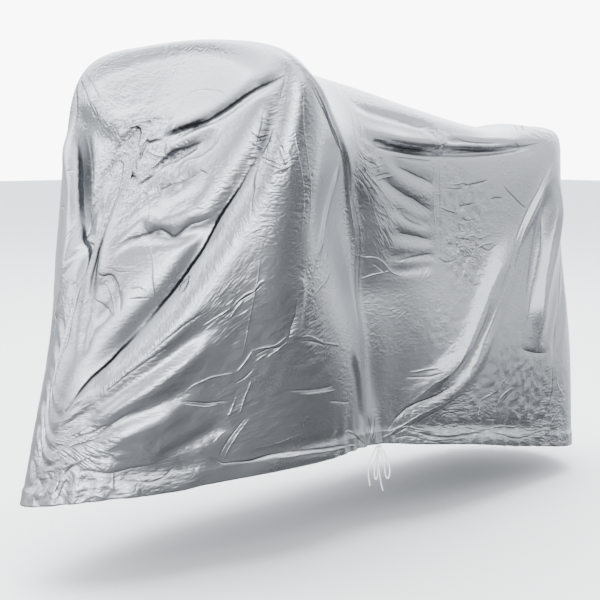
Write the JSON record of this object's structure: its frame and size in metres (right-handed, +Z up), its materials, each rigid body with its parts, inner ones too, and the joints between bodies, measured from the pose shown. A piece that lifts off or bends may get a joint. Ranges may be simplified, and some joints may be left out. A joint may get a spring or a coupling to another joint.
{
  "type": "motorcycle cover",
  "caption": "Fitted motorcycle cover in thin silver film, hollow and open below, draped in folds over bars, seat and tail, its hem drawn in by a tied cord.",
  "frame": {"origin": "just under the top, inside the cover, above the seat, where it rests on the machine it covers", "axes": "+Z up, +X towards the tail, -X towards the front, -Y the side with the bow"},
  "size_m": [1.9751, 0.7352, 1.1801],
  "materials": {
    "film": "satin silver plastic film, fine creases",
    "cord": "white braided cord"
  },
  "bodies": {
    "root": {"cover_shell": "film", "knot": "cord", "cord_end_left": "cord", "cord_end_right": "cord", "cord_loop_left": "cord", "cord_loop_right": "cord"}
  },
  "joints": []
}
